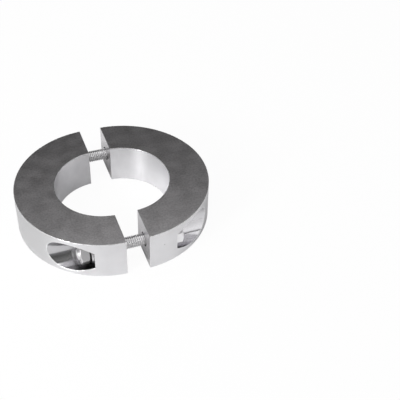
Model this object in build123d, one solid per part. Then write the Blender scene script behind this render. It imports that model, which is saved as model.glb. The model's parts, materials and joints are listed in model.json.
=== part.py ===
from build123d import *
import math
import os

# A split collar anode for a propeller shaft, with its two halves drawn apart on their screws.
# Millimetres. +X runs along the screws from the left half to the right half, +Y away from
# the viewer's side, +Z up. The origin is at the middle of the collar, on its bottom face.

# Half rings
shaft_diameter = 50.0          # bore of the collar, for the shaft that it clamps
wall_thickness = 20.0          # from the bore to the outside
ring_height = 21.0
saw_kerf = 3.0                 # metal lost where the turned ring was cut in two
open_gap = 11.3                # between the split faces, with the screws let out
outer_edge_break = 0.4         # chamfer on the two outer rims
bore_edge_break = 0.3          # chamfer on the two bore rims

# Pockets for the screw heads and the nuts
pocket_diameter = 16.5
bore_web = 1.75                # metal left between a pocket and the bore
lug_thickness = 14.9           # from a split face to the seat on which a head or washer bears

# M6 screw, nut and washer
thread_diameter = 6.0
hole_clearance = 1.0           # on the diameter of the screw's hole through a lug
thread_allowance = 0.1         # on the diameter of the nut's bore, round the thread's crests
head_height = 4.0
nut_height = 5.0
across_flats = 10.0
thread_protrusion = 0.9        # screw end beyond the nut
tip_chamfer = 0.6
nut_countersink = 0.4
corner_circle = 0.95           # chamfer circle on a hexagon's end, as a share of its flats
corner_angle = 30.0            # degrees between that chamfer and the end face
blank_margin = 0.5             # the chamfer cone is drawn this far out past the corners
washer_diameter = 11.0
washer_thickness = 1.0
washer_clearance = 0.4         # on the diameter of the washer's hole
washer_edge_break = 0.2

# Where one corner of each hexagon points: degrees about the screw, from +Y towards +Z
head_angle = {"front": 30.0, "rear": 12.0}
nut_angle = {"front": 178.0, "rear": 21.0}

# Sizes that follow from those above
bore_radius = shaft_diameter / 2
outer_radius = bore_radius + wall_thickness
half_shift = (open_gap - saw_kerf) / 2
seat_distance = open_gap / 2 + lug_thickness
screw_offset = bore_radius + bore_web + pocket_diameter / 2
screw_height = ring_height / 2
grip = 2 * lug_thickness + open_gap + washer_thickness
bolt_length = grip + nut_height + thread_protrusion
side_of_gap = {"front": -1, "rear": 1}


def turned_ring():
    """The whole ring as turned: its section, with the rims broken, revolved about the shaft."""
    section = Plane.XZ * Pos(bore_radius, 0) * Rectangle(
        wall_thickness, ring_height, align=(Align.MIN, Align.MIN)
    )
    section = chamfer(section.vertices().group_by(Axis.X)[0], bore_edge_break)
    section = chamfer(section.vertices().group_by(Axis.X)[-1], outer_edge_break)
    return revolve(section, Axis.Z)


def along_screw(x, y, direction):
    """A frame on a screw's axis: local +Z points along it, and local +X is the ring's +Y."""
    return Plane(origin=(x, y, screw_height), x_dir=(0, 1, 0), z_dir=(direction, 0, 0))


def rod(diameter, length):
    return Cylinder(diameter / 2, length, align=(Align.CENTER, Align.CENTER, Align.MIN))


def half_ring(side):
    """One half of the collar: side is -1 for the left half and +1 for the right."""
    reach = outer_radius + open_gap
    keep = Pos(side * saw_kerf / 2, 0, 0) * Box(
        reach, 2 * reach, 2 * ring_height,
        align=(Align.MIN if side > 0 else Align.MAX, Align.CENTER, Align.CENTER),
    )
    body = Pos(side * half_shift, 0, 0) * (turned_ring() & keep)
    for y in (-screw_offset, screw_offset):
        hole = along_screw(0, y, side) * rod(thread_diameter + hole_clearance, reach)
        pocket = along_screw(side * seat_distance, y, side) * rod(pocket_diameter, reach)
        body = body - hole - pocket
    return body


def hexagon(height, turn, chamfer_both_ends):
    """A hexagon bar piece from z = 0 up, its corners turned off by a cone at one or both ends."""
    corner_radius = across_flats / math.sqrt(3)
    end_radius = corner_circle * across_flats / 2
    blank_radius = corner_radius + blank_margin
    drop = (blank_radius - end_radius) * math.tan(math.radians(corner_angle))
    foot = [(end_radius, 0), (blank_radius, drop)] if chamfer_both_ends else [(blank_radius, 0)]
    crown = [(blank_radius, height - drop), (end_radius, height)]
    outline = [(0, 0), *foot, *crown, (0, height), (0, 0)]
    blank = revolve(Plane.XZ * make_face(Polyline(*outline)), Axis.Z)
    bar = extrude(RegularPolygon(corner_radius, 6, rotation=turn), height)
    return bar & blank


def hex_bolt(turn):
    """A fully threaded hexagon screw: bearing face at z = 0, head above it, shank below."""
    shank = Pos(0, 0, -bolt_length) * rod(thread_diameter, bolt_length)
    tip = shank.edges().group_by(Axis.Z)[0]
    return hexagon(head_height, turn, False) + chamfer(tip, tip_chamfer)


def hex_nut(turn):
    """A hexagon nut from z = 0 up, its bore clear of the screw's thread crests."""
    bore = rod(thread_diameter + thread_allowance, nut_height)
    nut = hexagon(nut_height, turn, True) - bore
    rims = nut.edges().filter_by(GeomType.CIRCLE)
    bore_rims = [e for e in rims if e.radius < thread_diameter / 2 + thread_allowance]
    return chamfer(bore_rims, nut_countersink)


def plain_washer():
    """A flat washer from z = 0 up, with its outer rims broken."""
    disc = rod(washer_diameter, washer_thickness)
    disc = chamfer(disc.edges().filter_by(GeomType.CIRCLE), washer_edge_break)
    return disc - rod(thread_diameter + washer_clearance, washer_thickness)


def screw_set(gap):
    """The screw, nut and washer across one gap: heads on the right half, nuts on the left."""
    y = side_of_gap[gap] * screw_offset
    washer_seat = -seat_distance
    nut_seat = washer_seat - washer_thickness
    return {
        "bolt_" + gap: along_screw(seat_distance, y, 1) * hex_bolt(head_angle[gap]),
        "washer_" + gap: along_screw(washer_seat, y, -1) * plain_washer(),
        "nut_" + gap: along_screw(nut_seat, y, -1) * hex_nut(-nut_angle[gap]),
    }


def anode():
    pieces = {"half_ring_left": half_ring(-1), "half_ring_right": half_ring(1)}
    for gap in side_of_gap:
        pieces.update(screw_set(gap))
    return pieces


os.makedirs("parts", exist_ok=True)
for name, piece in anode().items():
    export_step(piece, "parts/" + name + ".step")
    box = piece.bounding_box()
    print(name, "volume %.1f" % piece.volume, "from", box.min, "to", box.max)
print("bolt length under the head: %.1f" % bolt_length)
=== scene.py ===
import json
import math

import bpy
import numpy as np
from mathutils import Matrix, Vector
from mathutils.geometry import delaunay_2d_cdt


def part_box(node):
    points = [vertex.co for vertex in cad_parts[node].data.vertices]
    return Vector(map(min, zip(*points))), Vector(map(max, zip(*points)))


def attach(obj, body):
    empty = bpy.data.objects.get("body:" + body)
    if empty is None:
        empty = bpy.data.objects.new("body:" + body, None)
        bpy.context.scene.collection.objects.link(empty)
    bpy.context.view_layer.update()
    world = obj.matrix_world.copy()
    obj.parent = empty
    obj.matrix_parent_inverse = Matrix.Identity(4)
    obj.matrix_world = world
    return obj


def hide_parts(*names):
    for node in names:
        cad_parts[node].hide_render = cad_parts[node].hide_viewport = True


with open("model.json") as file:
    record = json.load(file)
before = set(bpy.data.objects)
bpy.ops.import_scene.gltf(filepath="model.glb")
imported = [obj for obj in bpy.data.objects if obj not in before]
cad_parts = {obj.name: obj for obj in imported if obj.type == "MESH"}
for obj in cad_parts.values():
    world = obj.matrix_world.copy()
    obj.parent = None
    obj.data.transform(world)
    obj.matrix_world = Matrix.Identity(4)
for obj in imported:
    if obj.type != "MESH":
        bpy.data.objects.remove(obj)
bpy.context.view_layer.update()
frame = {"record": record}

# Sizes in mm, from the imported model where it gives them. The right half ring is the one measured.
MM = 0.001
seats = {m["name"]: m for m in frame["record"]["mounts"]}
right_low, right_high = (np.array(c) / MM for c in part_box("half_ring_right"))
bolt_low, bolt_high = (np.array(c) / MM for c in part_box("bolt_front"))
washer_low, washer_high = (np.array(c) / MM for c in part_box("washer_front"))
nut_low, nut_high = (np.array(c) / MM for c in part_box("nut_front"))
CENTRE = seats["shaft_seat_right"]["pos_m"][0] / MM
BORE = seats["shaft_seat_right"]["dims"]["r_mm"]
HEIGHT = float(right_high[2])
OUTER = float(right_high[0]) - CENTRE
FACE = float(right_low[0]) - CENTRE
SEAT = -float(washer_high[0]) - CENTRE
SCREW_Y = -float(bolt_low[1] + bolt_high[1]) / 2
SCREW_Z = HEIGHT / 2
POCKET = 8.25
HOLE = 3.5

# How far the edges of the half rings are rounded over
OUTER_RIM = 0.4
TOP_RIM = 0.24
BORE_RIM = 0.3
SPLIT_EDGE = 0.14
HOLE_EDGE = 0.22
SEAT_EDGE = 0.25
POCKET_LIP = 0.2

# How finely the half rings are divided
COLUMNS = 441
RIM_STEPS = 8
EDGE_STEPS = 5
MOUTH_COLUMNS = 130
SEAT_COLUMNS = 18
WALL_ROWS = 7
HOLE_COLUMNS = 72

# Zones of the half rings' surface, each with its own material
ZONES = ["turned", "flat", "split", "bore", "pocket", "edge", "hole"]
ZONE = {zone: i for i, zone in enumerate(ZONES)}

# Dents in the right half's outside: arc length from the Y axis, height, size and depth
DENTS = [(132.45, 12.7, 0.5, 0.38), (138.67, 4.8, 0.28, 0.12), (126.0, 5.2, 0.25, 0.1)]

# Fasteners. The angles, in degrees, turn each hexagon about its screw.
THREAD_PITCH = 1.0
THREAD_CREST = 2.99
THREAD_ROOT = 2.62
NECK = 2.66
TIP = 2.3
HEAD_HEIGHT = 4.0
BOLT_LENGTH = float(bolt_high[0] - bolt_low[0]) - HEAD_HEIGHT
ACROSS_FLATS = 10.0
CORNER_ROUNDING = 0.22
CONE_FOOT = 4.75
NUT_FOOT = 0.55
HEAD_ANGLE = {"front": 30.0, "rear": 12.0}
NUT_ANGLE = {"front": 178.0, "rear": 21.0}


def unit(v):
    v = np.asarray(v, float)
    return v / np.maximum(np.linalg.norm(v, axis=-1, keepdims=True), 1e-12)


def waves(x, seed, low, high, count):
    """Smooth noise of about unit size: sines of random phase, with low to high cycles a mm."""
    rng = np.random.default_rng(seed)
    k = np.exp(rng.uniform(np.log(low), np.log(high), count)) * 2 * np.pi
    p = rng.uniform(0, 2 * np.pi, count)
    return np.sin(np.asarray(x, float)[..., None] * k + p).sum(-1) / math.sqrt(count)


def add_object(name, data):
    obj = bpy.data.objects.new(name, data)
    bpy.context.scene.collection.objects.link(obj)
    return obj


def inside(loop, points):
    """Whether each 2-D point lies inside a closed loop."""
    a, b = loop, np.roll(loop, -1, axis=0)
    x, y = points[:, 0][:, None], points[:, 1][:, None]
    cut = (a[:, 1] > y) != (b[:, 1] > y)
    with np.errstate(divide="ignore", invalid="ignore"):
        at = a[:, 0] + (y - a[:, 1]) * (b[:, 0] - a[:, 0]) / (b[:, 1] - a[:, 1])
    return (cut & (x < at)).sum(1) % 2 == 1


def fill(border, holes, extra=()):
    """Triangles over the 2-D area inside border and outside holes, through the extra points."""
    loops = [np.asarray(border, float)] + [np.asarray(h, float) for h in holes]
    points, edges = [], []
    for loop in loops:
        n = len(points)
        points.extend(loop.tolist())
        edges.extend((n + i, n + (i + 1) % len(loop)) for i in range(len(loop)))
    points.extend(np.asarray(extra, float).reshape(-1, 2).tolist())
    out, _, faces, origin, _, _ = delaunay_2d_cdt(points, edges, [], 0, 1e-6)
    index = [o[0] if o else -1 for o in origin]
    points = np.array(points)
    mids = np.array([np.mean([out[i] for i in f], axis=0) for f in faces])
    keep = inside(loops[0], mids)
    for hole in loops[1:]:
        keep &= ~inside(hole, mids)
    faces = [[index[i] for i in f] for f, k in zip(faces, keep) if k]
    if any(-1 in f for f in faces):
        raise RuntimeError("two borders of a patch cross")
    return points, faces


class Shell:
    """A closed surface in mm, made of patches that join where their points coincide."""

    def __init__(self):
        self.points, self.normals, self.faces, self.zones = [], [], [], []
        self.count = 0

    def patch(self, points, normals, faces, zone=0):
        """Adds faces of one size, each turned so that it faces the way its normals point."""
        points = np.asarray(points, float).reshape(-1, 3)
        normals = unit(np.broadcast_to(np.asarray(normals, float).reshape(-1, 3), points.shape))
        faces = np.asarray(faces, int)
        corners = points[faces]
        facing = np.cross(corners[:, 1:-1] - corners[:, :1], corners[:, 2:] - corners[:, :1]).sum(1)
        wrong = (facing * normals[faces].sum(1)).sum(1) < 0
        faces[wrong] = faces[wrong][:, ::-1]
        self.faces.extend(map(tuple, faces + self.count))
        self.zones.extend([zone] * len(faces))
        self.points.append(points)
        self.normals.append(normals)
        self.count += len(points)

    def grid(self, points, normals, zone=0, around=False):
        """A patch of rows and columns; around joins the last column to the first."""
        rows, cols = points.shape[:2]
        i, j = np.meshgrid(np.arange(rows - 1), np.arange(cols if around else cols - 1), indexing="ij")
        i, j = i.ravel() * cols, j.ravel()
        k = (j + 1) % cols
        self.patch(points, normals, np.stack([i + j, i + k, i + cols + k, i + cols + j], -1), zone)

    def face_along_x(self, border, holes, x, way, zone):
        """A flat face at x, facing along X the given way, with its border and holes in y and z."""
        flat, faces = fill(border, holes)
        self.patch(np.column_stack([np.full(len(flat), x), flat]), (way, 0, 0), faces, zone)

    def face_along_z(self, border, holes, z, way):
        """A flat face at z, facing along Z the given way, with its border and holes in x and y."""
        flat, faces = fill(border, holes)
        self.patch(np.column_stack([flat, np.full(len(flat), z)]), (0, 0, way), faces)

    def build(self, name, place, soft=False):
        """The mesh object. place maps points to the row frame; soft takes the mesh's own normals."""
        points = np.concatenate(self.points)
        normals = np.concatenate(self.normals)
        keys, first, where = {}, [], np.zeros(len(points), int)
        for i, key in enumerate(map(tuple, np.round(points, 4) + 0.0)):
            if key not in keys:
                keys[key] = len(first)
                first.append(i)
            where[i] = keys[key]
        faces, loops, zones = [], [], []
        for f, zone in zip(self.faces, self.zones):
            kept = [i for n, i in enumerate(f) if where[i] != where[f[n - 1]]]
            if len(kept) > 2 and len(set(where[kept])) == len(kept):
                faces.append([int(where[i]) for i in kept])
                loops.extend(kept)
                zones.append(zone)
        points = points[first] @ place[:3, :3].T + place[:3, 3]
        normals = normals[loops] @ place[:3, :3].T
        mesh = bpy.data.meshes.new(name)
        mesh.from_pydata((points * MM).tolist(), [], faces)
        mesh.polygons.foreach_set("material_index", zones)
        mesh.polygons.foreach_set("use_smooth", [True] * len(faces))
        mesh.update()
        if soft:
            summed = np.zeros((len(points), 3))
            for p in mesh.polygons:
                summed[list(p.vertices)] += np.array(p.normal) * p.area
            mesh.normals_split_custom_set_from_vertices(unit(summed).tolist())
        else:
            mesh.normals_split_custom_set(normals.tolist())
        self.report(name, faces)
        return add_object(name, mesh)

    def report(self, name, faces):
        """Prints the count of triangles, and of edges that don't join exactly two faces."""
        edges = {}
        for f in faces:
            for a, b in zip(f, f[1:] + f[:1]):
                edge = min(a, b), max(a, b)
                edges[edge] = edges.get(edge, 0) + 1
        loose = sum(1 for n in edges.values() if n != 2)
        triangles = sum(len(f) - 2 for f in faces)
        print(name, "triangles", triangles, "open or crowded edges", loose)


def rounded(corners, reach, steps):
    """A closed outline with rounded corners: points, outward normals, for columns of corners."""
    def right_of(d):
        return np.stack([d[..., 1], -d[..., 0]], -1)

    before = np.roll(corners, 1, axis=-2) - corners
    after = np.roll(corners, -1, axis=-2) - corners
    a, b = corners + unit(before) * reach, corners + unit(after) * reach
    na, nb = unit(right_of(-before)), unit(right_of(after))
    points, normals = [], []
    for t in np.linspace(0, 1, steps):
        points.append((1 - t) ** 2 * a + 2 * t * (1 - t) * corners + t * t * b)
        normals.append(unit((1 - t) * na + t * nb))
    shape = corners.shape[:-2] + (-1, 2)
    return np.stack(points, -2).reshape(shape), np.stack(normals, -2).reshape(shape)


# The half rings, modelled as the right half about its own axis. sign is 1 for the rear, -1 for the front.
def uneven(along, seed, size, wander, ragged):
    """The rounding of a rim along the ring: it wanders slowly, and is ragged in patches."""
    slow = waves(along, seed, 0.01, 0.08, 6)
    fast = waves(along, seed + 50, 0.35, 1.3, 20)
    patchy = np.clip(0.4 + waves(along, seed + 90, 0.02, 0.12, 6), 0, 1.2)
    return np.clip(size + wander * slow + ragged * patchy * fast, 0.4 * size, 2.5 * size)


def ring_profile(along, seed):
    """The section of the ring, its four rims rounded over, for each place along the ring."""
    one = np.ones(COLUMNS)
    corners = np.stack([
        np.stack([BORE * one, 0 * one], -1),
        np.stack([OUTER * one, 0 * one], -1),
        np.stack([OUTER * one, HEIGHT * one], -1),
        np.stack([BORE * one, HEIGHT * one], -1),
    ], 1)
    reach = np.stack([
        uneven(along, seed + 5, BORE_RIM, 0.02, 0.015),
        uneven(along, seed + 1, OUTER_RIM, 0.03, 0.02),
        uneven(along, seed + 2, TOP_RIM, 0.04, 0.3),
        uneven(along, seed + 4, BORE_RIM, 0.02, 0.03),
    ], 1)[..., None]
    end_length, end_reach = 1.5, 0.26
    near_end = np.clip(1 - np.minimum(along, along[-1] - along) / end_length, 0, 1)
    reach = np.maximum(reach, end_reach * near_end[:, None, None])
    return rounded(corners, reach, RIM_STEPS)


def circle_across(x, radius, y):
    """A circle about a screw's axis, at x."""
    a = np.linspace(0, 2 * np.pi, HOLE_COLUMNS, endpoint=False)
    return np.stack([np.full(HOLE_COLUMNS, x), y + radius * np.cos(a), SCREW_Z + radius * np.sin(a)], -1)


def split_face(shell, sign, profile, profile_normal, points, normals):
    """A split face and its rounded edge, which starts from the ring's section at that end."""
    rows, row_normals = [], []
    r, z = profile[:, 0], profile[:, 1]
    nr, nz = profile_normal[:, 0], profile_normal[:, 1]
    side_normal = normals * [0, 1, 1]
    for a in np.linspace(0, np.pi / 2, EDGE_STEPS):
        x = FACE + SPLIT_EDGE * (1 - math.sin(a))
        inset = SPLIT_EDGE * (1 - math.cos(a))
        y = sign * (np.sqrt(r * r - x * x) - nr * inset)
        rows.append(np.stack([np.full(len(r), x), y, z - nz * inset], -1))
        row_normals.append(math.cos(a) * unit(side_normal) + math.sin(a) * np.array([-1, 0, 0]))
    rows[0], row_normals[0] = points, normals
    shell.grid(np.array(rows), np.array(row_normals), ZONE["edge"], around=True)
    mouth = circle_across(FACE, HOLE + HOLE_EDGE, sign * SCREW_Y)
    shell.face_along_x(rows[-1][:, 1:], [mouth[:, 1:]], FACE, -1, ZONE["split"])


def screw_hole(shell, sign):
    """The hole from a split face to a pocket's seat, its two rims rounded over."""
    rows, row_normals = [], []
    y = sign * SCREW_Y
    axis_point = circle_across(0, 0, y)
    turn_over = np.linspace(0, np.pi / 2, EDGE_STEPS)
    ends = ((FACE, HOLE_EDGE, 1, turn_over), (SEAT, SEAT_EDGE, -1, turn_over[::-1]))
    for end, edge, way, angles in ends:
        for a in angles:
            x = end + way * edge * (1 - math.cos(a))
            rows.append(circle_across(x, HOLE + edge * (1 - math.sin(a)), y))
            inward = unit((axis_point - rows[-1]) * [0, 1, 1])
            row_normals.append(math.cos(a) * np.array([-way, 0, 0]) + math.sin(a) * inward)
    shell.grid(np.array(rows), np.array(row_normals), ZONE["hole"], around=True)


def on_wall(sign, phi, x):
    """Points on a pocket's wall, phi round the screw from the outward side."""
    return np.stack([x, sign * (SCREW_Y + POCKET * np.cos(phi)), SCREW_Z + POCKET * np.sin(phi)], -1)


def on_outside(sign, s, z):
    """Points on the ring's outside, an arc length s from the Y axis."""
    return np.stack([OUTER * np.sin(s / OUTER), sign * OUTER * np.cos(s / OUTER), z], -1)


def mouth_at(sign, phi):
    """The mouth's sharp edge at phi, and what lies a lip away from it: the point on the outside,
    and the x and phi of the point on the wall."""
    y = SCREW_Y + POCKET * np.cos(phi)
    x = np.sqrt(OUTER ** 2 - y * y)
    sharp = on_wall(sign, phi, x)
    dy = -POCKET * np.sin(phi)
    tangent = unit(np.stack([-y * dy / x, sign * dy, POCKET * np.cos(phi)], -1))
    outward = unit(sharp * [1, 1, 0])
    inward = -np.stack([0 * phi, sign * np.cos(phi), np.sin(phi)], -1)
    away = unit(np.cross(tangent, outward))
    away *= -np.sign((away * inward).sum(-1, keepdims=True))
    down = unit(np.cross(tangent, inward))
    down *= -np.sign((down * outward).sum(-1, keepdims=True))
    outer = sharp + POCKET_LIP * away
    scale = OUTER / np.hypot(outer[..., 0], outer[..., 1])
    outer = outer * np.stack([scale, scale, 0 * scale + 1], -1)
    inner = sharp + POCKET_LIP * down
    turned_to = np.arctan2(inner[..., 2] - SCREW_Z, sign * inner[..., 1] - SCREW_Y)
    return sharp, outer, inner[..., 0], np.mod(turned_to, 2 * np.pi)


def meeting_angle(sign, phi_corner):
    """The phi at which the wall's edge line meets the seat, found by halving."""
    low, high = phi_corner, phi_corner + 0.5
    for _ in range(60):
        middle = (low + high) / 2
        x_inner = mouth_at(sign, np.array([middle]))[2]
        low, high = (middle, high) if x_inner[0] < SEAT else (low, middle)
    return float(mouth_at(sign, np.array([low]))[3][0])


def mouth_corner(sign, phi_corner):
    """Where the lip lines beside the seat and beside the wall cross on the outside: s and z."""
    near = mouth_at(sign, np.array([phi_corner, phi_corner + 1e-4]))[0]
    s_near = OUTER * np.arctan2(near[:, 0], np.abs(near[:, 1]))
    along = unit([s_near[1] - s_near[0], near[1, 2] - near[0, 2]])
    away = np.array([-along[1], along[0]])
    slide = (-POCKET_LIP - POCKET_LIP * away[0]) / along[0]
    return s_near[0] - POCKET_LIP, near[0, 2] + POCKET_LIP * away[1] + slide * along[1]


def pocket(shell, sign):
    """A pocket's rounded mouth, wall and seat. Gives back the mouth's line on the outside."""
    y_seat = math.sqrt(OUTER ** 2 - SEAT ** 2)
    phi_corner = math.acos((y_seat - SCREW_Y) / POCKET)
    phi_meet = meeting_angle(sign, phi_corner)
    phi = np.linspace(phi_corner, 2 * np.pi - phi_corner, MOUTH_COLUMNS)[1:-1]
    sharp, outer, x_inner, phi_inner = mouth_at(sign, phi)
    wall_foot = on_wall(sign, phi_inner, np.full(len(phi), SEAT))
    wall_top = on_wall(sign, phi_inner, x_inner)
    wall_normal = -np.stack([0 * phi, sign * np.cos(phi_inner), np.sin(phi_inner)], -1)

    # The side where the seat runs out through the outside, and the two corners at its ends
    s_corner, z_corner = mouth_corner(sign, phi_corner)
    y_meet = SCREW_Y + POCKET * math.cos(phi_meet)
    z_outer = z_corner - SCREW_Z
    z_sharp = POCKET * math.sin(phi_corner)
    z_meet = POCKET * math.sin(phi_meet)
    span = np.linspace(-1, 1, SEAT_COLUMNS + 2)[1:-1]
    one = np.ones(SEAT_COLUMNS)
    seat_outer = on_outside(sign, s_corner * one, SCREW_Z + span * z_outer)
    seat_sharp = np.stack([SEAT * one, sign * y_seat * one, SCREW_Z + span * z_sharp], -1)
    seat_inner = np.stack([SEAT * one, sign * y_meet * one, SCREW_Z + span * z_meet], -1)
    up = on_outside(sign, np.array([s_corner]), np.array([SCREW_Z + z_outer]))
    down = on_outside(sign, np.array([s_corner]), np.array([SCREW_Z - z_outer]))
    up_sharp = np.array([[SEAT, sign * y_seat, SCREW_Z + z_sharp]])
    down_sharp = np.array([[SEAT, sign * y_seat, SCREW_Z - z_sharp]])
    corners = on_wall(sign, np.array([phi_meet, -phi_meet]), np.array([SEAT, SEAT]))
    corner_normals = -np.stack([[0, 0], [sign * math.cos(phi_meet)] * 2,
                                [math.sin(phi_meet), -math.sin(phi_meet)]], -1)
    seat_normal = np.array([[1.0, 0, 0]])

    # The mouth's edge, rounded over between its line on the outside and its line inside
    loop_outer = np.concatenate([up, outer, down, seat_outer])
    loop_sharp = np.concatenate([up_sharp, sharp, down_sharp, seat_sharp])
    loop_inner = np.concatenate([corners[:1], wall_top, corners[1:], seat_inner])
    inner_normal = unit(np.concatenate([
        corner_normals[:1] + seat_normal, wall_normal,
        corner_normals[1:] + seat_normal, np.repeat(seat_normal, SEAT_COLUMNS, 0)]))
    outer_normal = unit(loop_outer * [1, 1, 0])
    rows, row_normals = [], []
    for t in np.linspace(0, 1, EDGE_STEPS):
        rows.append((1 - t) ** 2 * loop_outer + 2 * t * (1 - t) * loop_sharp + t * t * loop_inner)
        row_normals.append(unit((1 - t) * outer_normal + t * inner_normal))
    shell.grid(np.array(rows), np.array(row_normals), ZONE["edge"], around=True)

    # The wall, from the seat up to the mouth, and the seat
    foot = np.concatenate([corners[:1], wall_foot, corners[1:]])
    top = np.concatenate([corners[:1], wall_top, corners[1:]])
    across = np.concatenate([corner_normals[:1], wall_normal, corner_normals[1:]])
    wall = foot + (top - foot) * np.linspace(0, 1, WALL_ROWS)[:, None, None]
    shell.grid(wall, np.broadcast_to(across, wall.shape), ZONE["pocket"])
    border = np.concatenate([foot, seat_inner])
    hole = circle_across(SEAT, HOLE + SEAT_EDGE, sign * SCREW_Y)
    shell.face_along_x(border[:, 1:], [hole[:, 1:]], SEAT, 1, ZONE["pocket"])
    return loop_outer


def unrolled(p):
    return np.stack([OUTER * np.arctan2(p[..., 0], p[..., 1]), p[..., 2]], -1)


def outside_wall(shell, lower, upper, mouths, dents):
    """The outside between its lower and upper line, with the mouths open and the dents pressed in."""
    border = np.concatenate([unrolled(lower), unrolled(upper)])
    mesh_size, mesh_rows, clear_of_rims, clear_of_mouths = 1.15, 16, 1.5, 0.55
    dent_points, dent_clearance, dent_steepness = 15, 2.6, 1.6
    s_grid, z_grid = np.meshgrid(
        np.arange(border[:, 0].min() + 1, border[:, 0].max() - 0.9, mesh_size),
        np.linspace(clear_of_rims, HEIGHT - clear_of_rims, mesh_rows))
    extra = np.stack([s_grid.ravel(), z_grid.ravel()], -1)
    extra[:, 0] += 0.4 * mesh_size * (np.round(extra[:, 1] / mesh_size) % 2)
    for s, z, size, depth in dents:
        a, b = np.meshgrid(np.linspace(-2, 2, dent_points), np.linspace(-2, 2, dent_points))
        extra = extra[np.hypot(extra[:, 0] - s, extra[:, 1] - z) > dent_clearance * size]
        extra = np.concatenate([extra, np.stack([s + a.ravel() * size, z + b.ravel() * size], -1)])
    holes = [unrolled(m) for m in mouths]
    for hole in holes:
        distance = np.linalg.norm(extra[:, None] - hole[None], axis=-1).min(1)
        extra = extra[(distance > clear_of_mouths) & ~inside(hole, extra)]
    flat, faces = fill(border, holes, extra)
    sunk = np.zeros(len(flat))
    slope = np.zeros((len(flat), 2))
    for s, z, size, depth in dents:
        d = (flat - [s, z]) / size
        hollow = depth * np.exp(-(d ** 2).sum(1) * dent_steepness)
        sunk += hollow
        slope += (hollow * (2 * dent_steepness) / size)[:, None] * d
    sine, cosine = np.sin(flat[:, 0] / OUTER), np.cos(flat[:, 0] / OUTER)
    body = np.stack([(OUTER - sunk) * sine, (OUTER - sunk) * cosine, flat[:, 1]], -1)
    lean = np.stack([sine - slope[:, 0] * cosine, cosine + slope[:, 0] * sine, -slope[:, 1]], -1)

    # The border's points are set to those of the patches beside it, so that they join
    known = np.concatenate([lower, upper, *mouths])
    body[:len(known)] = known
    shell.patch(body, lean, faces, ZONE["turned"])


def half_ring(name, turn, seed, dents=()):
    """One half of the collar, modelled as the right half and turned into place."""
    shell = Shell()
    share = np.linspace(0, 1, COLUMNS)
    profile, profile_normal = ring_profile(share * math.pi * OUTER, seed)
    r, z = profile[..., 0], profile[..., 1]
    nr, nz = profile_normal[..., 0], profile_normal[..., 1]
    start = np.arcsin((FACE + SPLIT_EDGE) / r)
    angle = start + share[:, None] * (math.pi - 2 * start)
    points = np.stack([r * np.sin(angle), r * np.cos(angle), z], -1)
    normals = np.stack([nr * np.sin(angle), nr * np.cos(angle), nz], -1)

    # The zone of each strip between one profile point and the next. The outside comes last.
    strips = []
    for side in ("flat", "turned", "flat", "bore"):
        strips.extend(["edge"] * (RIM_STEPS - 1) + [side])
    wall = strips.index("turned")
    for i, strip in enumerate(strips):
        k = (i + 1) % len(strips)
        if i != wall:
            shell.grid(points[:, [i, k]], normals[:, [i, k]], ZONE[strip])
    for end, sign in ((0, 1), (-1, -1)):
        split_face(shell, sign, profile[end], profile_normal[end], points[end], normals[end])
        screw_hole(shell, sign)
    mouths = [pocket(shell, sign) for sign in (1, -1)]
    outside_wall(shell, points[:, wall], points[::-1, wall + 1], mouths, dents)

    c, s = math.cos(math.radians(turn)), math.sin(math.radians(turn))
    place = np.array([[c, -s, 0, CENTRE * c], [s, c, 0, CENTRE * s], [0, 0, 1, 0], [0, 0, 0, 1.0]])
    return shell.build(name, place)


# The fasteners, each modelled along its own Z, with its flat face or head's underside at 0
def along_screw(x, y, way):
    """Places a fastener: its z along X the given way, its x along the row frame's +Y."""
    return np.array([[0, 0, way, x], [1, 0, 0, y], [0, way, 0, SCREW_Z], [0, 0, 0, 1.0]])


def circle(radius, z, number=48):
    a = np.linspace(0, 2 * np.pi, number + 1)[:-1]
    return np.stack([radius * np.cos(a), radius * np.sin(a), np.full(number, float(z))], -1)


def thread(shell, low, high, radius_at, around=48):
    """A right-hand helical thread between two heights; radius_at limits it near its ends."""
    rise = THREAD_CREST - THREAD_ROOT
    shoulder, foot = THREAD_CREST - 0.08 * rise, THREAD_ROOT + 0.06 * rise
    shape = [(0.0, THREAD_CREST), (0.12, THREAD_CREST), (0.17, shoulder), (0.4, foot),
             (0.46, THREAD_ROOT), (0.56, THREAD_ROOT), (0.62, foot), (0.85, shoulder), (0.9, THREAD_CREST)]
    turns = int(math.ceil((high - low) / THREAD_PITCH)) + 2
    angles = np.linspace(0, 2 * np.pi, around + 1)
    rows, radii = [], []
    for t in range(-1, turns):
        for share, radius in shape:
            rows.append(low + (t + share - 0.5) * THREAD_PITCH + angles / (2 * np.pi) * THREAD_PITCH)
            radii.append(np.full(around + 1, radius))
    height = np.clip(np.array(rows), low, high)
    radius = radius_at(height, np.array(radii))
    points = np.stack([radius * np.cos(angles), radius * np.sin(angles), height], -1)
    shell.grid(points, points * [1, 1, 0])


def hex_outline(turn, along=9):
    """A hexagon with rounded corners: points and outward normals, counterclockwise."""
    inner = (ACROSS_FLATS / 2 - CORNER_ROUNDING) / math.cos(math.pi / 6)
    arc = np.radians(np.linspace(-30, 30, 5))
    points, normals = [], []
    for k in range(6):
        a = math.radians(turn + 60 * k)
        centre = inner * np.array([math.cos(a), math.sin(a)])
        n = np.stack([np.cos(a + arc), np.sin(a + arc)], -1)
        p = centre + CORNER_ROUNDING * n
        b = a + math.pi / 3
        end = inner * np.array([math.cos(b), math.sin(b)])
        end = end + CORNER_ROUNDING * np.array([math.cos(a + math.pi / 6), math.sin(a + math.pi / 6)])
        middle = p[-1] + (end - p[-1]) * np.linspace(0, 1, along + 2)[1:-1, None]
        points.extend([*p, *middle])
        normals.extend([*n, *([n[-1]] * along)])
    return np.array(points), np.array(normals)


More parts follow.
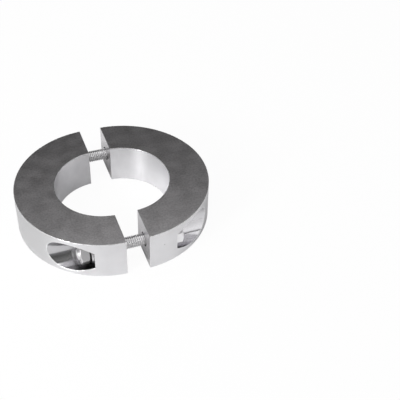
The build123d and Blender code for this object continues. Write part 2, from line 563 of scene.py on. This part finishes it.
def hexagon(shell, height, turn, both_ends, foot_hole, crown_hole, boss=0.0):
    """A hexagon piece from z = 0 up, open at the hole rings. boss is the height of a round foot."""
    slope = math.tan(math.radians(30))
    edge, boss_inset, boss_edge = 0.12, 0.35, 0.06
    outline, side = hex_outline(turn)
    far = np.linalg.norm(outline, axis=1)
    radial = outline / far[:, None]
    drop = np.maximum(far - CONE_FOOT, 0) * slope

    def level(points, z):
        return np.column_stack([points, np.broadcast_to(z, len(points))])

    def end(way):
        """Rows from the wall over the cone to the flat end, for z measured into the piece."""
        lean = edge * slope
        rows = [level(outline, drop + edge), level(outline, drop + edge * 0.35),
                level(outline - radial * edge * 0.5, drop + edge * 0.12 - lean * 0.2),
                level(outline - radial * edge, drop - lean),
                level(radial * (CONE_FOOT + edge), edge * slope),
                level(radial * (CONE_FOOT + edge * 0.3), edge * 0.1),
                level(radial * (CONE_FOOT - edge), 0.0)]
        return [r * [1, 1, way] for r in rows]

    crown = [r + [0, 0, height] for r in end(-1)]
    if both_ends:
        foot = [r + [0, 0, boss] for r in end(1)]
        narrow = radial * (CONE_FOOT - boss_inset)
        foot += [level(narrow, boss), level(narrow, boss_edge), level(narrow * 0.985, 0.0)]
    else:
        foot = [level(outline, edge), level(outline - radial * edge * 0.3, edge * 0.3),
                level(outline - radial * edge, 0.0)]
    rows = np.array(foot[::-1] + crown)
    outward = np.concatenate([side, np.zeros((len(side), 1))], 1)
    wall = len(foot)
    normals = np.broadcast_to(outward, rows.shape).copy()
    normals[:wall - 1, :, 2] -= 1.0
    normals[wall + 1:, :, 2] += 1.0
    shell.grid(rows, normals, around=True)
    for row, hole, way in ((rows[0], foot_hole, -1), (rows[-1], crown_hole, 1)):
        holes = [] if hole is None else [hole[:, :2]]
        shell.face_along_z(row[:, :2], holes, row[0, 2], way)


def bolt(name, y, turn):
    shell = Shell()
    neck_end, neck_length = 2.2, 1.6

    def limit(z, radius):
        radius = np.minimum(radius, np.where(z <= -BOLT_LENGTH, TIP, TIP + (z + BOLT_LENGTH)))
        fade = np.clip((z + neck_end) / neck_length, 0, 1)
        return radius * (1 - fade) + NECK * fade

    thread(shell, -BOLT_LENGTH, 0.0, limit)
    shell.face_along_z(circle(TIP, -BOLT_LENGTH)[:, :2], [], -BOLT_LENGTH, -1)
    hexagon(shell, HEAD_HEIGHT, turn, False, circle(NECK, 0), None)
    return shell.build(name, along_screw(CENTRE + SEAT, y, 1), soft=True)


def nut(name, y, turn):
    shell = Shell()
    height = float(nut_high[0] - nut_low[0])
    bore, sink = 3.05, 0.4
    lower = [(bore + sink, 0), (bore + sink * 0.93, 0.03),
             (bore + 0.05, sink - 0.03), (bore, sink + 0.04)]
    upper = [(radius, height - z) for radius, z in lower[::-1]]
    rows = np.array([circle(radius, z) for radius, z in lower + upper])
    shell.grid(rows, -rows * [1, 1, 0], around=True)
    hexagon(shell, height, turn, True, rows[0], rows[-1], NUT_FOOT)
    return shell.build(name, along_screw(float(washer_low[0]), y, -1), soft=True)


def washer(name, y):
    shell = Shell()
    thick, outer, hole, rounding = 1.0, 5.5, 3.2, 0.14
    section = np.array([[hole, 0], [outer, 0], [outer, thick], [hole, thick]])[None]
    points, normals = rounded(section, rounding, 5)
    a = np.linspace(0, 2 * np.pi, 96, endpoint=False)[:, None]

    def turned(rz):
        rows = np.stack([rz[0, :, 0] * np.cos(a), rz[0, :, 0] * np.sin(a), rz[0, :, 1] + 0 * a], -1)
        return np.concatenate([rows, rows[:1]])

    shell.grid(turned(points), turned(normals), around=True)
    return shell.build(name, along_screw(float(washer_high[0]), y, -1))


# Materials. Each is procedural, and works on the point in mm.
class Tree:
    """The nodes of a material or of the world. A value may be a number or a node's output."""

    def __init__(self, node_tree):
        self.nodes, self.links = node_tree.nodes, node_tree.links

    def plug(self, value, socket):
        if isinstance(value, (int, float)):
            socket.default_value = value
        else:
            self.links.new(value, socket)

    def calculate(self, operation, *values):
        node = self.nodes.new("ShaderNodeMath")
        node.operation = operation
        for value, socket in zip(values, node.inputs):
            self.plug(value, socket)
        return node.outputs[0]

    def add(self, a, b):
        return self.calculate("ADD", a, b)

    def times(self, a, b):
        return self.calculate("MULTIPLY", a, b)

    def larger(self, a, b):
        return self.calculate("MAXIMUM", a, b)

    def ramp(self, value, low, high, out_low=0.0, out_high=1.0):
        node = self.nodes.new("ShaderNodeMapRange")
        names = ("Value", "From Min", "From Max", "To Min", "To Max")
        for name, setting in zip(names, (value, low, high, out_low, out_high)):
            self.plug(setting, node.inputs[name])
        return node.outputs["Result"]

    def combine(self, x, y, z):
        node = self.nodes.new("ShaderNodeCombineXYZ")
        for value, socket in zip((x, y, z), node.inputs):
            self.plug(value, socket)
        return node.outputs[0]

    def parts(self, vector):
        node = self.nodes.new("ShaderNodeSeparateXYZ")
        self.links.new(vector, node.inputs[0])
        return node.outputs[0], node.outputs[1], node.outputs[2]

    def noise(self, vector, scale, detail=3, roughness=0.6):
        node = self.nodes.new("ShaderNodeTexNoise")
        node.inputs["Scale"].default_value = scale
        node.inputs["Detail"].default_value = detail
        node.inputs["Roughness"].default_value = roughness
        self.links.new(vector, node.inputs["Vector"])
        return node.outputs["Fac"]

    def blend(self, amount, first, second):
        """A colour taken from the first to the second by an amount. first may be an output."""
        node = self.nodes.new("ShaderNodeMix")
        node.data_type = "RGBA"
        if isinstance(first, tuple):
            node.inputs[6].default_value = (*first, 1)
        else:
            self.links.new(first, node.inputs[6])
        node.inputs[7].default_value = (*second, 1)
        self.links.new(amount, node.inputs[0])
        return node.outputs[2]

    def about(self, a, b, centre_a, centre_b):
        """The angle and the distance about an axis through (centre_a, centre_b)."""
        da = self.calculate("SUBTRACT", a, centre_a)
        db = self.calculate("SUBTRACT", b, centre_b)
        far = self.calculate("SQRT", self.add(self.times(da, da), self.times(db, db)))
        return self.calculate("ARCTAN2", da, db), far


class Metal(Tree):
    """A metal's nodes, with the point in mm and its parts to hand."""

    def __init__(self, name, metallic=1.0):
        self.material = bpy.data.materials.new(name)
        self.material.use_nodes = True
        super().__init__(self.material.node_tree)
        self.inputs = self.nodes["Principled BSDF"].inputs
        self.inputs["Metallic"].default_value = metallic
        scale = self.nodes.new("ShaderNodeVectorMath")
        scale.operation = "SCALE"
        scale.inputs["Scale"].default_value = 1 / MM
        self.links.new(self.nodes.new("ShaderNodeTexCoord").outputs["Object"], scale.inputs[0])
        self.point = scale.outputs[0]
        self.x, self.y, self.z = self.parts(self.point)

    def finish(self, colour, roughness):
        self.plug(colour, self.inputs["Base Color"])
        self.plug(roughness, self.inputs["Roughness"])

    def grooves(self, axis, strength):
        """Stretches the shine along an axis, as the fine grooves of a cutting tool do across them."""
        self.inputs["Anisotropic"].default_value = strength
        self.links.new(self.combine(*axis), self.inputs["Tangent"])

    def bump(self, height, distance, strength):
        node = self.nodes.new("ShaderNodeBump")
        node.inputs["Strength"].default_value = strength
        node.inputs["Distance"].default_value = distance
        self.links.new(height, node.inputs["Height"])
        self.links.new(node.outputs["Normal"], self.inputs["Normal"])


# Dull alloy grey, also painted shade towards the left of the left half's outside; and the grey of nicks
# and of the painted shade line under the rim
DULL_AND_SIDE_SHADE = (0.6, 0.598, 0.605)
NICK_AND_RIM_SHADE = (0.3, 0.297, 0.3)


def flat_zone(metal, side):
    """The sawn top and bottom faces: dull grey, with specks, patches and faint saw lines."""
    speck = metal.noise(metal.point, 1.15, 2)
    patch = metal.noise(metal.point, 0.14)
    saw = metal.noise(metal.combine(metal.times(metal.x, 0.06), metal.times(metal.y, 1.1), 0.0), 1.0)
    both = metal.add(metal.times(speck, 0.6), metal.add(metal.times(patch, 0.2), metal.times(saw, 0.2)))
    tone = metal.ramp(both, 0.38, 0.62)
    metal.finish(metal.blend(tone, (0.596, 0.578, 0.589), (0.811, 0.79, 0.803)),
                 metal.ramp(patch, 0.35, 0.65, 0.29, 0.33))
    metal.bump(speck, 0.00003, 0.5)


def lathe_turned(metal, side, radius, pale):
    """Turned metal, with fine grooves round the ring. Gives back its colour, roughness and clouds."""
    angle, far = metal.about(metal.x, metal.y, side * CENTRE, 0.0)
    arc = metal.times(angle, radius)
    lines = metal.noise(metal.combine(metal.times(arc, 0.03), far, metal.times(metal.z, 2.5)), 1.0)
    cloud = metal.noise(metal.point, 0.12, 2, 0.5)
    tints = [(v + 0.002, v - 0.003, v + 0.012) for v in pale]
    colour = metal.blend(metal.ramp(cloud, 0.35, 0.65), *tints)
    metal.grooves((0.0, 0.0, 1.0), 0.78)
    metal.bump(lines, 0.000004, 0.2)
    return colour, metal.ramp(lines, 0.3, 0.7, 0.29, 0.37), cloud


def turned_zone(metal, side):
    """The outside. On the left half, painted shade darkens it towards the left, with a thin line of
    painted shade under its rim.
    """
    colour, roughness, cloud = lathe_turned(metal, side, OUTER, (0.715, 0.755))
    if side < 0:
        # Painted shade: a thin dark line just under the top rim, at the left front
        height = metal.add(metal.z, metal.times(cloud, 0.25))
        under = metal.times(metal.ramp(height, 19.75, 19.95), metal.ramp(height, 20.35, 20.5, 1.0, 0.0))
        there = metal.times(metal.ramp(metal.x, -34.0, -38.0), metal.ramp(metal.y, -2.0, -6.0))
        colour = metal.blend(metal.times(under, there), colour, NICK_AND_RIM_SHADE)
        # Painted shade: the left half's outside grows darker towards the left
        colour = metal.blend(metal.ramp(metal.x, -20.0, -42.0), colour, DULL_AND_SIDE_SHADE)
    metal.finish(colour, roughness)


def bore_zone(metal, side):
    # Painted shade and light: the left half's bore is a darker grey, the right half's a paler one
    colour, roughness, _ = lathe_turned(metal, side, BORE, (0.58, 0.63) if side < 0 else (0.8, 0.84))
    metal.finish(colour, roughness)


def split_zone(metal, side):
    """The split faces: milled lines along Y, with painted shade darker towards the foot and the rear."""
    lines = metal.noise(metal.combine(0.0, metal.times(metal.y, 0.15), metal.times(metal.z, 3.0)), 1.0)
    # Painted shade: darker towards the foot of the face and towards the rear
    colour = metal.blend(metal.ramp(metal.z, 0.0, 12.0), (0.468, 0.457, 0.467), (0.852, 0.837, 0.852))
    colour = metal.blend(metal.ramp(metal.y, -5.0, 5.0, 0.0, 0.4), colour, (0.408, 0.397, 0.406))
    metal.finish(colour, metal.ramp(lines, 0.3, 0.7, 0.24, 0.36))
    metal.bump(lines, 0.000005, 0.2)


def edge_zone(metal, side):
    """All rounded edges: nicked dark along the top rims, a darker grey near the bore."""
    nick = metal.noise(metal.point, 1.1)
    colour = metal.blend(nick, (0.74, 0.738, 0.744), (0.92, 0.918, 0.924))
    nicked = metal.times(metal.ramp(nick, 0.5, 0.58, 0.0, 0.8),
                         metal.ramp(metal.z, HEIGHT - 1.5, HEIGHT - 0.8))
    colour = metal.blend(nicked, colour, NICK_AND_RIM_SHADE)
    _, far = metal.about(metal.x, metal.y, side * CENTRE, 0.0)
    inner = metal.ramp(far, BORE + 2.0, BORE + 4.0, 0.6, 0.0)
    metal.finish(metal.blend(inner, colour, (0.4, 0.398, 0.402)), metal.ramp(nick, 0.3, 0.7, 0.18, 0.36))
    metal.bump(nick, 0.00012, 0.6)


def hole_zone(metal, side):
    """The screw holes: near black from painted shade, dull grey in their upper part."""
    hole_mottle = metal.noise(metal.point, 1.5)
    # Painted shade: the hole walls near black, mottled
    colour = metal.blend(hole_mottle, (0.02, 0.0195, 0.02), (0.06, 0.059, 0.06))
    upper = metal.ramp(metal.z, SCREW_Z + 0.5, SCREW_Z + 2.5)
    metal.finish(metal.blend(upper, colour, DULL_AND_SIDE_SHADE), 0.45)
    metal.bump(hole_mottle, 0.00003, 0.4)


def pocket_zone(metal, side):
    """The pockets: bright milled metal. The left half's are painted a darker grey as shade, with painted
    shade low by the seat and round the nut, a dark band of painted reflection and a light band of painted
    reflection.
    """
    angle, far = metal.about(metal.y, metal.z, 0.0, SCREW_Z)
    lines = metal.noise(metal.combine(metal.times(metal.x, 2.5), far, angle), 1.0)
    # The left half's pockets get a darker grey than the right's: painted shade
    sheen, pale = (0.18, 0.52) if side < 0 else (0.19, 0.68)
    cloud = metal.noise(metal.point, 0.25, 2, 0.5)
    colour = metal.blend(cloud, *[(1.01 * v, v, 1.03 * v) for v in (pale - 0.02, pale + 0.03)])
    if side < 0:
        seat = -(CENTRE + SEAT)
        dark_reflection_top, dark_reflection_foot = SCREW_Z - 4.0, SCREW_Z - 7.4
        below_dark_reflection = SCREW_Z - 6.8
        deep = metal.ramp(metal.x, seat - 6.5, seat - 2.5)
        low_down = metal.ramp(metal.z, SCREW_Z - 2.5, SCREW_Z - 5.5)
        around_nut = metal.ramp(metal.x, seat - 10.0, seat - 6.0, 0.0, 0.45)
        # Painted shade: near black low down by the seat and round the nut
        painted_shade = metal.larger(around_nut, metal.times(deep, low_down))
        colour = metal.blend(painted_shade, colour, (0.14, 0.138, 0.14))
        # Painted reflection: a dark band low on the pocket wall
        dark_reflection = metal.times(metal.ramp(metal.z, dark_reflection_top, dark_reflection_top - 0.8),
                           metal.ramp(metal.z, dark_reflection_foot, below_dark_reflection))
        colour = metal.blend(dark_reflection, colour, (0.33, 0.328, 0.33))
        # Painted reflection: a light band below the dark one, further out
        light_reflection = metal.times(metal.ramp(metal.z, below_dark_reflection, dark_reflection_foot),
                            metal.ramp(metal.x, seat - 7.0, seat - 9.5))
        colour = metal.blend(light_reflection, colour, (0.88, 0.872, 0.894))
    metal.finish(colour, metal.ramp(lines, 0.3, 0.7, sheen, sheen + 0.02))
    metal.grooves((1.0, 0.02, 0.03), 0.3)
    metal.bump(lines, 0.000003, 0.08)


ZONE_LOOKS = {"turned": turned_zone, "flat": flat_zone, "split": split_zone, "bore": bore_zone,
              "pocket": pocket_zone, "edge": edge_zone, "hole": hole_zone}


def ring_materials(side):
    """The half ring's materials, in the order of ZONES. side is -1 for the left half, 1 for the right."""
    made = []
    for zone in ZONES:
        metallic = 0.85 if zone == "edge" else 1.0
        metal = Metal("alloy_" + zone + ("_left" if side < 0 else "_right"), metallic)
        ZONE_LOOKS[zone](metal, side)
        made.append(metal.material)
    return made


def steel_material(name, dull, pale):
    """Stainless steel: bright crests and faces, with painted shade greying the thread valleys and the
    lower flanks, which are also rougher, and painted shade between the left washers and nuts and low down
    on them. dull is its roughness, pale its grey."""
    metal = Metal(name)
    _, far = metal.about(metal.calculate("ABSOLUTE", metal.y), metal.z, SCREW_Y, SCREW_Z)
    crest = metal.ramp(far, THREAD_ROOT + 0.05, THREAD_CREST - 0.1)
    end_face = metal.ramp(far, TIP - 0.05, TIP + 0.1, 1.0, 0.0)

    # How far a point stands out from the left half's seats: washer to 1 mm, nut to 6 mm
    out = metal.calculate("SUBTRACT", -(CENTRE + SEAT), metal.x)
    groove = metal.times(metal.ramp(out, 0.82, 0.95), metal.ramp(out, 1.5, 1.9, 1.0, 0.0))
    deep = metal.times(metal.ramp(out, 0.5, 0.8), metal.ramp(out, 6.4, 1.2))
    low_down = metal.ramp(metal.z, SCREW_Z - 0.3, SCREW_Z - 4.0)
    # Painted shade: dark in the groove between each left washer and nut, and low down on them
    painted_shade = metal.larger(groove, metal.times(deep, low_down))
    bright_share = metal.times(metal.larger(crest, end_face), metal.calculate("SUBTRACT", 1.0, painted_shade))
    # Painted shade: thread valleys greyer than the crests and end face
    shade = metal.ramp(painted_shade, 0.0, 1.0, 0.6, 0.06)
    valley = metal.combine(shade, shade, shade)
    colour = metal.blend(bright_share, valley, (pale + 0.003, pale - 0.005, pale + 0.008))
    # Painted shade: the thread's lower flanks greyer; they are also rougher
    flank = metal.times(metal.ramp(metal.z, SCREW_Z + 2.0, SCREW_Z + 1.0, 0.0, 0.7),
                        metal.ramp(far, 3.05, 3.3, 1.0, 0.0))
    colour = metal.blend(flank, colour, (0.6, 0.598, 0.6))
    fine = metal.noise(metal.point, 1.5, 2, 0.5)
    roughness = metal.ramp(fine, 0.3, 0.7, dull - 0.03, dull + 0.03)
    metal.finish(colour, metal.add(roughness, metal.times(flank, 0.3)))
    metal.bump(fine, 0.000002, 0.1)
    return metal.material


def finish_piece(piece, node, materials):
    for m in materials:
        piece.data.materials.append(m)
    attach(piece, "root")
    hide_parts(node)


left = half_ring("half_ring_left_detailed", 180, 11)
finish_piece(left, "half_ring_left", ring_materials(-1))
right = half_ring("half_ring_right_detailed", 0, 23, DENTS)
finish_piece(right, "half_ring_right", ring_materials(1))
rolled = steel_material("stainless_rolled", 0.36, 0.86)
formed = steel_material("stainless_formed", 0.32, 0.66)
for gap, y in (("front", -SCREW_Y), ("rear", SCREW_Y)):
    threaded = bolt("bolt_" + gap + "_threaded", y, HEAD_ANGLE[gap])
    finish_piece(threaded, "bolt_" + gap, [rolled])
    finish_piece(nut("nut_" + gap + "_detailed", y, -NUT_ANGLE[gap]), "nut_" + gap, [formed])
    finish_piece(washer("washer_" + gap + "_detailed", y), "washer_" + gap, [formed])

# Floor: white card, which glows for the camera and, a little, in the metal's reflections
FLOOR_HALF = 3.0
corners = [(x * FLOOR_HALF, y * FLOOR_HALF, 0) for x, y in ((-1, -1), (1, -1), (1, 1), (-1, 1))]
floor_mesh = bpy.data.meshes.new("floor")
floor_mesh.from_pydata(corners, [], [(0, 1, 2, 3)])
floor = add_object("floor", floor_mesh)
floor_material = bpy.data.materials.new("floor_white")
floor_material.use_nodes = True
tree = Tree(floor_material.node_tree)
tree.nodes.remove(tree.nodes["Principled BSDF"])
diffuse = tree.nodes.new("ShaderNodeBsdfDiffuse")
diffuse.inputs["Color"].default_value = (0.92, 0.92, 0.92, 1)
glow = tree.nodes.new("ShaderNodeEmission")
glow.inputs["Color"].default_value = (1, 1, 1, 1)
glow.inputs["Strength"].default_value = 1.0
path = tree.nodes.new("ShaderNodeLightPath").outputs
mirrored = tree.larger(path["Is Glossy Ray"], path["Is Transmission Ray"])
share = tree.larger(tree.times(path["Is Camera Ray"], 0.95), tree.times(mirrored, 0.06))
mix = tree.nodes.new("ShaderNodeMixShader")
tree.links.new(share, mix.inputs[0])
tree.links.new(diffuse.outputs[0], mix.inputs[1])
tree.links.new(glow.outputs[0], mix.inputs[2])
tree.links.new(mix.outputs[0], tree.nodes["Material Output"].inputs["Surface"])
floor_mesh.materials.append(floor_material)

# World: a dim studio with a pale horizon and pale walls, and white where the camera sees it
world = bpy.data.worlds.new("studio")
bpy.context.scene.world = world
world.use_nodes = True
studio = Tree(world.node_tree)
way = studio.nodes.new("ShaderNodeTexCoord").outputs["Generated"]
way_x, way_y, way_z = studio.parts(way)
level_way = studio.nodes.new("ShaderNodeVectorMath")
level_way.operation = "NORMALIZE"
studio.links.new(studio.combine(way_x, way_y, 0.0), level_way.inputs[0])


def facing(degrees):
    """How nearly a level direction points to this many degrees from +Y towards +X."""
    node = studio.nodes.new("ShaderNodeVectorMath")
    node.operation = "DOT_PRODUCT"
    node.inputs[1].default_value = (math.sin(math.radians(degrees)), math.cos(math.radians(degrees)), 0)
    studio.links.new(level_way.outputs[0], node.inputs[0])
    return node.outputs["Value"]


def soft_step(value, low, high, out_low=0.0, out_high=1.0):
    stepped = studio.ramp(value, low, high, out_low, out_high)
    stepped.node.interpolation_type = "SMOOTHSTEP"
    return stepped


def sine(degrees):
    return math.sin(math.radians(degrees))


def cosine(degrees):
    return math.cos(math.radians(degrees))


def card(middle, half_width, soft, bottom, top, strength):
    """A pale wall of the studio. All but its strength is in degrees, its middle from +Y towards +X."""
    soft_end = 6
    across = soft_step(facing(middle), cosine(half_width + soft), cosine(half_width))
    upper_end = soft_step(way_z, sine(top), sine(top + soft_end), 1.0, 0.0)
    lower_end = soft_step(way_z, sine(bottom - soft_end), sine(bottom))
    return studio.times(studio.times(studio.times(across, upper_end), lower_end), strength)


cards = card(150.5, 13.5, 5, 0, 60, 1.1)
for measures in ((117, 14, 8, 0, 60, 0.55), (226, 36, 12, 0, 60, 0.65), (272, 24, 14, 26, 60, 0.5)):
    cards = studio.add(cards, card(*measures))
near = studio.ramp(facing(215), -0.3, 0.6, 0.3, 1.0)
horizon = studio.times(studio.ramp(way_z, 0.0, 0.12, 0.6, 0.0), near)
dim = studio.ramp(way_y, -0.6, 0.6, 0.08, 0.04)
brightness = studio.add(studio.larger(horizon, cards), dim)
seen = studio.nodes.new("ShaderNodeLightPath").outputs["Is Camera Ray"]
background = studio.nodes["Background"].inputs
background["Color"].default_value = (1, 1, 1, 1)
studio.links.new(studio.larger(brightness, seen), background["Strength"])


def lamp(name, place, target, size, power):
    """An area lamp at place, turned to shine on target, in metres and watts."""
    data = bpy.data.lights.new(name, "AREA")
    data.shape = "RECTANGLE"
    data.size, data.size_y = size
    data.energy = power
    away = unit(np.array(place) - np.array(target))
    side = unit(np.cross([0, 1.0, 0] if abs(away[2]) > 0.99 else [0, 0, 1.0], away))
    pose = np.eye(4)
    pose[:3, :] = np.column_stack([side, np.cross(away, side), away, place])
    add_object(name, data).matrix_world = Matrix(pose.tolist())


lamp("overhead", (-0.16, 0.12, 0.62), target=(-0.16, 0.12, 0.01), size=(0.9, 0.6), power=1.95)
lamp("key", (-0.598, -0.346, 0.303), target=(0, 0, 0.01), size=(0.13, 0.3), power=4.1)

# Camera, at the photograph's viewing angle. Its spot is in mm.
camera_data = bpy.data.cameras.new("camera")
camera_data.lens = 73.372
camera_data.sensor_width = 36.0
camera = add_object("camera", camera_data)
rightward = np.array([0.93829864, -0.34477445, 0.02694889])
upward = np.array([0.21111731, 0.63278415, 0.74499242])
forward = np.array([0.27390718, 0.69333599, -0.66652836])
spot = np.array([-73.212, -306.920, 289.180]) * MM
camera_pose = np.eye(4)
camera_pose[:3, :] = np.column_stack([rightward, upward, -forward, spot])
camera.matrix_world = Matrix(camera_pose.tolist())
bpy.context.scene.camera = camera

bpy.context.scene.view_settings.view_transform = "Standard"

bpy.context.view_layer.update()
